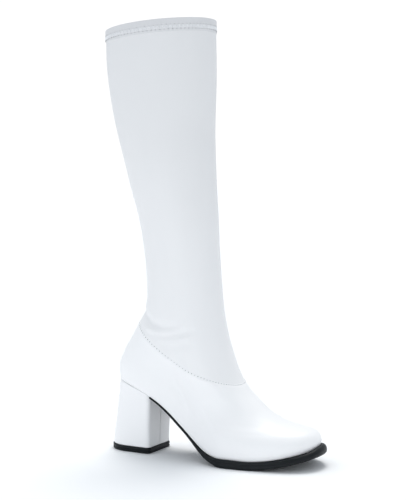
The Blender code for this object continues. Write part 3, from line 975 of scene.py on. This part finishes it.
def sew(name, middles, along, out, lengths, thread, material):
    """A row of stitches, or of dark beads that paint the shade in needle holes, as one plain mesh on the
    upper.
    """
    points = bpy.data.meshes.new(name + "_points")
    points.from_pydata(middles.tolist(), [], [])
    for label, kind, field, data in (
        ("stitch_along", "FLOAT_VECTOR", "vector", along),
        ("stitch_out", "FLOAT_VECTOR", "vector", out),
        ("stitch_length", "FLOAT", "value", lengths),
    ):
        stored = points.attributes.new(label, kind, "POINT")
        stored.data.foreach_set(field, np.asarray(data, np.float32).ravel())
    carrier = linked(name + "_points", points)
    modifier = carrier.modifiers.new("stitches", "NODES")
    modifier.node_group = node_group_of("stitch row", stitch_tree)
    values = {"Thread": thread, "Material": material}
    for item in modifier.node_group.interface.items_tree:
        if item.name in values:
            modifier[item.identifier] = values[item.name]
    bpy.context.view_layer.update()
    evaluated = carrier.evaluated_get(bpy.context.evaluated_depsgraph_get())
    mesh = bpy.data.meshes.new_from_object(evaluated)
    bpy.data.objects.remove(carrier)
    mesh.name = name
    row = linked(name, mesh)
    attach(row, "root")


def even_places(path, pitch):
    """Places spaced evenly along a closed path of points, the places half-way between, and their count."""
    steps = np.linalg.norm(np.roll(path, -1, axis=0) - path, axis=1)
    gone = steps.sum()
    count = int(round(gone / pitch))
    share = np.arange(count) / count * len(path)
    return share, share + len(path) / count / 2, count


def on_grid(values, place):
    """Values read between the points of a closed ring."""
    low = np.floor(place).astype(int) % len(values)
    high = (low + 1) % len(values)
    share = (place - np.floor(place))[:, None]
    return values[low] * (1 - share) + values[high] * share


class BOOT_OT_stage(Operator):
    """Make the floor, the light and the camera"""

    bl_idname = "boot.stage"
    bl_label = "Floor, light and camera"

    def execute(self, context):
        studio = context.scene.boot_studio
        self.floor()
        self.room(context, studio)
        self.lamps(studio)
        self.camera(context, studio)
        return {"FINISHED"}

    def floor(self):
        """White paper under the boot."""
        corners = [(x * FLOOR_REACH, y * FLOOR_REACH, 0) for x, y in ((-1, -1), (1, -1), (1, 1), (-1, 1))]
        mesh = bpy.data.meshes.new("floor")
        mesh.from_pydata(corners, [], [(0, 1, 2, 3)])
        paper = bpy.data.materials.new("white paper")
        paper.use_nodes = True
        look = {"Base Color": PAPER, "Roughness": 0.9, "Specular IOR Level": 0.1}
        Graph(paper.node_tree).fill(paper.node_tree.nodes["Principled BSDF"], look)
        mesh.materials.append(paper)
        linked("floor", mesh)

    def room(self, context, studio):
        """A white room, whose light is a little stronger on the left of the picture."""
        world = bpy.data.worlds.new("white room")
        world.use_nodes = True
        graph = Graph(world.node_tree)
        azimuth = math.radians(studio.azimuth)
        towards = graph.add("ShaderNodeTexCoord").outputs["Generated"]
        sides = {0: towards, 1: (-math.cos(azimuth), -math.sin(azimuth), 0.0)}
        left = graph.add("ShaderNodeVectorMath", sides, operation="DOT_PRODUCT").outputs["Value"]
        leaning = graph.math("MULTIPLY", left, studio.ambient * studio.lean)
        strength = graph.math("ADD", leaning, studio.ambient)
        lit = graph.add("ShaderNodeBackground", {"Color": ROOM_LIGHT, "Strength": strength})
        seen = world.node_tree.nodes["Background"]
        graph.fill(seen, {"Color": (1.0, 1.0, 1.0, 1.0), "Strength": ROOM_SEEN})
        blend = graph.add(
            "ShaderNodeMixShader",
            {
                "Fac": graph.add("ShaderNodeLightPath").outputs["Is Camera Ray"],
                1: lit.outputs["Background"],
                2: seen.outputs["Background"],
            },
        )
        graph.fill(world.node_tree.nodes["World Output"], {"Surface": blend.outputs["Shader"]})
        context.scene.world = world
        context.scene.view_settings.view_transform = "Standard"

    def lamps(self, studio):
        """A large soft key light overhead, and a low white card that lifts the foot more than the leg."""
        key = bpy.data.lights.new("key", "SUN")
        key.energy = studio.sun
        key.color = KEY_COLOUR
        key.angle = math.radians(KEY_WIDTH)
        linked("key", key).rotation_euler = [math.radians(turn) for turn in KEY_TURN]
        card = bpy.data.lights.new("card", "AREA")
        card.shape = "RECTANGLE"
        card.size, card.size_y = CARD_SIZE
        card.energy = studio.card
        lamp = linked("card", card)
        lamp.location = CARD_PLACE
        lamp.rotation_euler = (Vector(CARD_AIM) - Vector(CARD_PLACE)).to_track_quat("-Z", "Y").to_euler()
        lamp.visible_camera = False

    def camera(self, context, studio):
        """The camera at the photograph's angle."""
        data = bpy.data.cameras.new("camera")
        data.sensor_fit = "VERTICAL"
        data.sensor_height = SENSOR_HEIGHT
        data.lens = studio.focal_pixels / PHOTO_HEIGHT * SENSOR_HEIGHT
        data.clip_start = 0.01
        data.clip_end = 100.0
        camera = linked("camera", data)
        azimuth = math.radians(studio.azimuth)
        camera.location = (
            studio.aim_x + math.sin(azimuth) * studio.distance,
            -math.cos(azimuth) * studio.distance,
            studio.camera_height,
        )
        camera.rotation_euler = (math.radians(90 - studio.tilt), 0, azimuth)
        context.scene.camera = camera


class BOOT_OT_foot(Operator):
    """Make the glossy foot, from its turned lower edge to the seam"""

    bl_idname = "boot.foot"
    bl_label = "Foot"

    def execute(self, context):
        last = Last(context)
        size = last.size
        turn = turns(POINTS["foot"])
        line = last.seam_line(turn)
        places = np.linspace(0, 1, RINGS["foot"])[:, None] * line
        grid, normal = last.creased(places, turn)
        thick = mix(size.foot_edge, size.foot_overlap, ease((line - places) / size.thinned))
        outer = grid + normal * thick[..., None]
        under = [last.sole_loop(turn, -size.lasting_margin, 0.0)]
        for angle in np.radians([0, 30, 60]):
            out = size.foot_overlap - size.feather_radius * (1 - math.sin(angle))
            under.append(last.sole_loop(turn, out, size.feather_radius * (1 - math.cos(angle))))
        up = unit(outer[-1] - outer[-2])
        radius = size.foot_edge / 2
        edge = [
            outer[-1] - normal[-1] * radius * (1 - math.cos(angle)) + up * radius * math.sin(angle)
            for angle in np.radians([30, 60, 90, 120, 150])
        ]
        leather_depth = size.shaft_wall * LEATHER_SHARE
        inner = grid + normal * np.where(places > line - LAP, LAP_GAP, -leather_depth)[..., None]
        margin_top = size.lasted_thickness * LEATHER_SHARE
        margin = [last.sole_loop(turn, -reach, margin_top) for reach in (leather_depth, size.lasting_margin)]
        loops = under + list(outer) + edge + list(inner[::-INNER_STEP]) + margin
        above = (places - line).mean(axis=1)
        heights = [-1.0] * len(under) + list(above) + [0.0] * len(edge) + [-1.0] * len(loops)
        stitches = last.stitch_count(turn, context.scene.boot_stitches.seam_pitch)
        foot = build("foot", loops, closed=True, seam=(stitches, heights))
        sharpen(foot, 70)
        dress(foot, leather(context, "foot"))
        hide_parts("upper")
        return {"FINISHED"}


class BOOT_OT_shaft(Operator):
    """Make the stretch shaft, from under the foot's edge to the collar"""

    bl_idname = "boot.shaft"
    bl_label = "Shaft"

    def execute(self, context):
        last = Last(context)
        turn = turns(POINTS["shaft"])
        start = last.seam_line(turn) - UNDER_FOOT
        places = mix(start, last.top - BELOW_COLLAR, np.linspace(0, 1, RINGS["shaft"])[:, None])
        outer, normal = last.creased(places, turn)
        inner = outer - normal * last.size.shaft_wall * LEATHER_SHARE
        loops = list(outer) + list(inner[::-INNER_STEP])
        heights = list((places - start).mean(axis=1) - UNDER_FOOT) + [1.0] * len(loops)
        stitches = last.stitch_count(turn, context.scene.boot_stitches.seam_pitch)
        shaft = build("shaft", loops, closed=True, seam=(stitches, heights))
        sharpen(shaft, 60)
        dress(shaft, leather(context, "shaft"))
        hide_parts("upper")
        return {"FINISHED"}


# The hem's rings crowd to its lower edge; its fold is a little flat, and its lower edge is tucked in
HEM_CROWDING = 1.3
FOLD_FLATNESS = 0.9
TUCK = 0.0001
HEM_GAP = 0.00005
HEM_BACK = (0.0002, 0.0006)

# Small gathers round the hem: how many, where they start and how deep they are
GATHERS = ((83, 0.0, 0.00010), (47, 2.1, 0.00009))
GATHERED_AT = 0.34
GATHERED_OVER = 0.30

# The zigzag row, in shares of its thread, its stitches' length and the needle holes' radius
ZIGZAG_LIFT = 0.3
ZIGZAG_REACH = 0.92
ZIGZAG_HOLE = 0.85
ZIGZAG_SINK = 0.7

# The seam's row, in shares of its pitch and of the needle holes' radius
STITCH_SHARE = 0.62
HOLE_SHARE = 0.36
HOLE_SINK = 0.6
STITCH_SINK = 0.00004


class BOOT_OT_hem(Operator):
    """Make the folded, elasticated hem at the collar and its zigzag stitches"""

    bl_idname = "boot.hem"
    bl_label = "Hem"

    def execute(self, context):
        last = Last(context)
        size = last.size
        turn = turns(POINTS["hem"])
        share = np.linspace(0, 1, RINGS["hem"]) ** HEM_CROWDING
        places = mix(last.hem, last.top, share)
        grid, normal = last.creased(places, turn)
        step = mix(size.hem_edge, size.hem_step, ease((places - last.hem) / size.thinned))[:, None]
        outer = grid + normal * (step + self.ripple(turn, share))[..., None]
        radius = (size.hem_step + size.shaft_wall) / 2
        up = unit(grid[-1] - grid[-2])
        across, rise = normal[-1] * radius, up * radius * FOLD_FLATNESS
        fold = [
            outer[-1] + across * (math.cos(angle) - 1) + rise * (math.sin(angle) - 1)
            for angle in np.radians([20, 45, 70, 90, 110, 135, 160])
        ]
        outer[-1] = outer[-1] - rise
        inner = grid - normal * size.shaft_wall
        tuck = [outer[0] - (normal[0] * size.hem_edge + up * TUCK) * part for part in (0.8, 0.35)]
        rim = [grid[0] + normal[0] * HEM_GAP - up * TUCK]
        low = inner[0] - up * HEM_BACK[0]
        back = [low, low + normal[0] * HEM_BACK[1]]
        loops = rim + tuck + list(outer) + fold + list(inner[::-1][1:]) + back
        hem = build("hem", loops, closed=True)
        sharpen(hem, 70)
        dress(hem, leather(context, "hem"))
        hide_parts("upper")
        self.zigzag(context, last)
        return {"FINISHED"}

    def ripple(self, turn, share):
        """Small gathers that the elastic draws up, strongest along the stitches."""
        strength = np.exp(-(((share - GATHERED_AT) / GATHERED_OVER) ** 2))
        return np.outer(strength, sum(np.sin(turn * often + start) * deep for often, start, deep in GATHERS))

    def zigzag(self, context, last):
        """The zigzag row in the lower half of the hem, and dark beads that paint the shade in its needle
        holes.
        """
        sewing = context.scene.boot_stitches
        middle = last.hem + sewing.zigzag_up
        half_height = sewing.zigzag_height / 2
        places = np.array([middle - half_height, middle, middle + half_height])
        grid, normal = last.creased(places, turns(POINTS["hem"]))
        share, half, count = even_places(grid[1], sewing.zigzag_pitch)
        lift = normal[1] * (last.size.hem_step + sewing.zigzag_thread * ZIGZAG_LIFT)
        low, high = on_grid(grid[0] + lift, share), on_grid(grid[2] + lift, half)
        starts = np.concatenate([low, high])
        ends = np.concatenate([high, np.roll(low, -1, axis=0)])
        out = np.concatenate([on_grid(normal[1], share), on_grid(normal[1], half)])
        lengths = np.linalg.norm(ends - starts, axis=1)
        along = (ends - starts) / lengths[:, None]
        thread = shared_leather(context, "thread")
        middles, reach = (starts + ends) / 2, lengths * ZIGZAG_REACH
        sew("hem_stitches", middles, along, out, reach, sewing.zigzag_thread, thread)
        hole = sewing.hole * ZIGZAG_HOLE
        ahead = unit(on_grid(np.roll(grid[1], -1, axis=0) - np.roll(grid[1], 1, axis=0), share))
        ahead = np.concatenate([ahead, ahead])
        # Dark beads sunk at the needle holes paint the shade inside them
        holes = starts - out * hole * ZIGZAG_SINK
        shade = shared_leather(context, "hole")
        sew("hem_holes", holes, ahead, out, np.full(2 * count, 2 * hole), hole, shade)


class BOOT_OT_seam(Operator):
    """Sew the foot to the shaft: a row of stitches and dark beads that paint the shade in their needle holes
    """

    bl_idname = "boot.seam"
    bl_label = "Seam stitches"

    def execute(self, context):
        last = Last(context)
        size, sewing = last.size, context.scene.boot_stitches
        turn = turns(POINTS["seam"])
        place = last.seam_line(turn) - sewing.seam_inset
        grid, normal = last.creased(place + np.array([[-NEAR], [0.0], [NEAR]]), turn)
        thick = mix(size.foot_edge, size.foot_overlap, ease(sewing.seam_inset / size.thinned))
        skin = grid[1] + normal[1] * thick
        share, half, count = even_places(skin, sewing.seam_pitch)
        middles, out = on_grid(skin, share), on_grid(normal[1], share)
        ahead = unit(np.roll(middles, -1, axis=0) - np.roll(middles, 1, axis=0))
        lengths = np.full(count, sewing.seam_pitch * STITCH_SHARE)
        thread = shared_leather(context, "thread")
        sew("seam_stitches", middles - out * STITCH_SINK, ahead, out, lengths, sewing.thread, thread)
        # Between the stitches, dark beads sunk into the skin paint the shade in the needle holes
        out = on_grid(normal[1], half)
        holes = on_grid(skin, half) - out * sewing.hole * HOLE_SINK
        lengths = np.full(count, sewing.seam_pitch * HOLE_SHARE)
        sew("needle_holes", holes, ahead, out, lengths, sewing.hole, shared_leather(context, "hole"))
        return {"FINISHED"}


class BOOT_OT_lining(Operator):
    """Make the lining inside foot and leg"""

    bl_idname = "boot.lining"
    bl_label = "Lining"

    def execute(self, context):
        last = Last(context)
        places = np.linspace(LINING_START, last.hem + LINING_PAST_HEM, RINGS["lining"])
        grid, normal = last.creased(places, turns(POINTS["lining"]))
        wall = normal * last.size.shaft_wall
        lining = build("lining", list(grid - wall * LINING_SHARE) + list((grid - wall)[::-1]), closed=True)
        sharpen(lining, 60)
        dress(lining, leather(context, "lining"))
        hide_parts("upper")
        return {"FINISHED"}


class BOOT_OT_insole(Operator):
    """Make the sock inside the foot"""

    bl_idname = "boot.insole"
    bl_label = "Insole"

    def execute(self, context):
        last = Last(context)
        size = last.size
        turn = turns(POINTS["insole"])
        low = size.lasted_thickness + size.clearance
        top = low + size.insole_thickness
        rim = -(size.shaft_wall + size.clearance)
        edge = size.insole_thickness / 4
        section = (
            # in, height: a pressed line runs round near the edge
            (INSOLE_REACH_IN, low),
            (edge, low),
            (0.0, low + edge),
            (0.0, top - edge),
            (edge * 0.4, top - edge * 0.3),
            (edge, top),
            (0.0022, top),
            (0.0026, top - 0.0002),
            (0.0030, top),
            (INSOLE_REACH_IN, top),
        )
        insole = build("sock", [last.sole_loop(turn, rim - inset, up) for inset, up in section], caps=True)
        sharpen(insole, 50)
        dress(insole, leather(context, "insole"))
        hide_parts("insole")
        return {"FINISHED"}


def sole_turns(last, step):
    """Turns from the toe to the heel breast, the outer side first."""
    back_x, _, front_x = last.rows[0][:3]
    along = (last.sole.breast_at + last.size.clearance - back_x) / (front_x - back_x)
    breast = math.acos(2 * along - 1)
    outer = list(np.linspace(0, breast, int(breast / step) + 1))
    inner = [-turn for turn in outer[:0:-1]]
    return np.array(outer + inner)


def softened(profile, share=0.25):
    """A profile with each inner corner cut into two, which rounds it."""
    points = np.array(profile)
    made = [points[0]]
    for before, here, after in zip(points[:-2], points[1:-1], points[2:]):
        back, on = (before - here) * share, (after - here) * share
        made += [here + back, here + (back + on) * 0.3, here + on]
    return made + [points[-1]]


def lip_rounding(up):
    """How far out the toe's lip stands at a share of its height, as it rounds over."""
    over = max(0.0, (up - LIP_FROM) / (1 - LIP_FROM))
    return mix(LIP_TOP, 1.0, (1 - over**LIP_ROUNDNESS) ** (1 / LIP_ROUNDNESS))


class BOOT_OT_outsole(Operator):
    """Make the black outsole with its welt step and toe lip"""

    bl_idname = "boot.outsole"
    bl_label = "Outsole"

    def execute(self, context):
        last = Last(context)
        size, sole = last.size, last.sole
        turn = sole_turns(last, SOLE_STEP)
        along = (last.sole_loop(turn, 0.0, 0.0)[:, 0] + last.origin) / size.foot_length
        toe = ease_over(TOE_SPAN, along)
        overhang = mix(sole.waist_overhang, sole.overhang, ease_over(OVERHANG_SPAN, along))
        overhang = mix(overhang, sole.toe_overhang, toe)
        lip = mix(sole.lip_height * ease_over(LIP_SPAN, along), sole.toe_lip_height, toe)
        lip = lip - np.interp(np.degrees(turn), *zip(*LIP_DIP))
        inner = np.minimum(last.lip_reach(), overhang * LIP_REACH_SHARE)
        thickness = mix(sole.breast_thickness, sole.waist_thickness, ease_over(SHANK_SPAN, along))
        thickness = mix(thickness, sole.thickness - size.clearance, ease_over(FOREPART_SPAN, along))
        lifted = 1 - ease_over(TREAD_SPAN, along)
        loops = [last.sole_loop(turn, out, -size.clearance) for out in (-SOLE_REACH_IN, inner)]
        for out, up in softened(SOLE_EDGE):
            if up >= LIP_FROM and out >= LIP_TOP:
                out = mix(out, lip_rounding(up), toe)
            loop = last.sole_loop(turn, mix(inner, overhang, out), 0.0)
            x = loop[:, 0] + last.origin
            top = last.underside(x) - size.clearance
            floor = last.tread(x)
            tread = mix(floor, np.maximum(top - thickness, floor), lifted)
            loop[:, 2] = mix(tread, top + lip, up)
            loops.append(loop)
        outsole = build("sole", loops, caps=True)
        sharpen(outsole, 50)
        dress(outsole, rubber(context, "black sole rubber", 0.08, 0.42, 0.2))
        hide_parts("outsole")
        return {"FINISHED"}


def heel_loop(last, back, front, half, widest, out=0.0, stations=40, corner_steps=8, breast_steps=16):
    """A heel section in plan, from its back point round the outer side to the breast and back."""
    sole = last.sole
    back, front, half = back - out, front + out, half + out
    corner = sole.heel_corner
    sweep = np.linspace(0, math.pi / 2, stations)
    side_x = back + (front - corner - back) * (1 - np.cos(sweep))
    behind = np.clip(1 - (side_x - back) / (front - back) / widest, 0.0, 1.0)
    side_y = half * (1 - behind**HEEL_ROUNDNESS) ** (1 / HEEL_ROUNDNESS)
    angles = np.linspace(0, math.pi / 2, corner_steps + 1)[1:]
    corner_x = front - corner + corner * np.sin(angles)
    corner_y = half - corner + corner * np.cos(angles)
    breast_y = (half - corner) * (1 - np.linspace(0, 1, breast_steps + 1)[1:] ** BREAST_CROWDING)
    x = np.concatenate([side_x, corner_x, np.full(breast_steps, front)])
    y = np.concatenate([side_y, corner_y, breast_y])
    outer = np.stack([x - last.origin, -y, x * 0], axis=1)
    inner = np.stack([x - last.origin, y, x * 0], axis=1)
    return np.concatenate([outer, inner[-2:0:-1]])


class BOOT_OT_heel(Operator):
    """Make the covered heel block, with the cover's join down the breast"""

    bl_idname = "boot.heel"
    bl_label = "Heel block"

    def execute(self, context):
        last = Last(context)
        size, sole = last.size, last.sole
        seat_back = last.rows[0][0] - sole.heel_rim
        base_front = sole.breast_at - sole.breast_rake
        seat_widest = HEEL_WIDEST * size.foot_length / sole.breast_at
        loops = []
        for up in HEEL_LEVELS:
            late = up**sole.heel_taper
            back = mix(-sole.heel_flare, seat_back, up)
            front = mix(base_front, sole.breast_at, late)
            half = mix(sole.heel_base_width, size.heel_width + 2 * sole.heel_rim, late) / 2
            foot, seat = max(0.0, 1 - up / HEEL_FOOT_SHARE), max(0.0, 1 - (1 - up) / HEEL_SEAT_SHARE)
            rounding = -HEEL_EDGE * (foot**2 + seat**2)
            loop = heel_loop(last, back, front, half, mix(sole.base_widest, seat_widest, up), rounding)
            x = loop[:, 0] + last.origin
            top = last.underside(np.maximum(x, 0.0)) - size.clearance
            loop[:, 2] = mix(sole.lift_thickness + size.clearance, top, up)
            join = JOIN_DEPTH * np.exp(-((loop[:, 1] / JOIN_HALF_WIDTH) ** 2))
            loop[:, 0] -= np.where(x > front + rounding - BREAST_SLACK, join, 0.0)
            loops.append(loop)
        block = build("heel_cover", loops, caps=True)
        sharpen(block, 50)
        dress(block, leather(context, "heel"))
        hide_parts("heel_block")
        return {"FINISHED"}


class BOOT_OT_lift(Operator):
    """Make the black lift under the heel"""

    bl_idname = "boot.lift"
    bl_label = "Heel lift"

    def execute(self, context):
        last = Last(context)
        sole = last.sole
        back, front = -sole.heel_flare, sole.breast_at - sole.breast_rake
        thick = LIFT_BOX[1].z - LIFT_BOX[0].z
        loops = []
        for out, up in LIFT_EDGE:
            loop = heel_loop(last, back, front, sole.heel_base_width / 2, sole.base_widest, out)
            loop[:, 2] = up * thick
            loops.append(loop)
        lift = build("top_piece", loops, caps=True)
        sharpen(lift, 45)
        dress(lift, rubber(context, "black lift rubber", 0.12, 0.45, 0.3))
        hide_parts("heel_lift")
        return {"FINISHED"}


OPERATORS = (
    BOOT_OT_stage,
    BOOT_OT_foot,
    BOOT_OT_shaft,
    BOOT_OT_hem,
    BOOT_OT_seam,
    BOOT_OT_lining,
    BOOT_OT_insole,
    BOOT_OT_outsole,
    BOOT_OT_heel,
    BOOT_OT_lift,
)
GROUPS = {
    "boot_sizes": BootSizes,
    "boot_sole": SoleSizes,
    "boot_stitches": StitchSizes,
    "boot_colours": BootColours,
    "boot_studio": StudioSizes,
}


class BOOT_PT_panel(Panel):
    """The boot's pieces and sizes"""

    bl_label = "Go-go boot"
    bl_idname = "BOOT_PT_panel"
    bl_space_type = "VIEW_3D"
    bl_region_type = "UI"
    bl_category = "Boot"

    def draw(self, context):
        for operator in OPERATORS:
            self.layout.operator(operator.bl_idname)
        for name, kind in GROUPS.items():
            box = self.layout.box()
            box.label(text=kind.__doc__)
            for item in kind.__annotations__:
                box.prop(getattr(context.scene, name), item)


def register():
    for kind in (*GROUPS.values(), *OPERATORS, BOOT_PT_panel):
        bpy.utils.register_class(kind)
    for name, kind in GROUPS.items():
        setattr(bpy.types.Scene, name, PointerProperty(type=kind))


def unregister():
    for name in GROUPS:
        delattr(bpy.types.Scene, name)
    for kind in (BOOT_PT_panel, *reversed(OPERATORS), *GROUPS.values()):
        bpy.utils.unregister_class(kind)


def main():
    register()
    for operator in OPERATORS:
        getattr(bpy.ops.boot, operator.bl_idname.split(".")[1])()


if __name__ == "__main__":
    main()
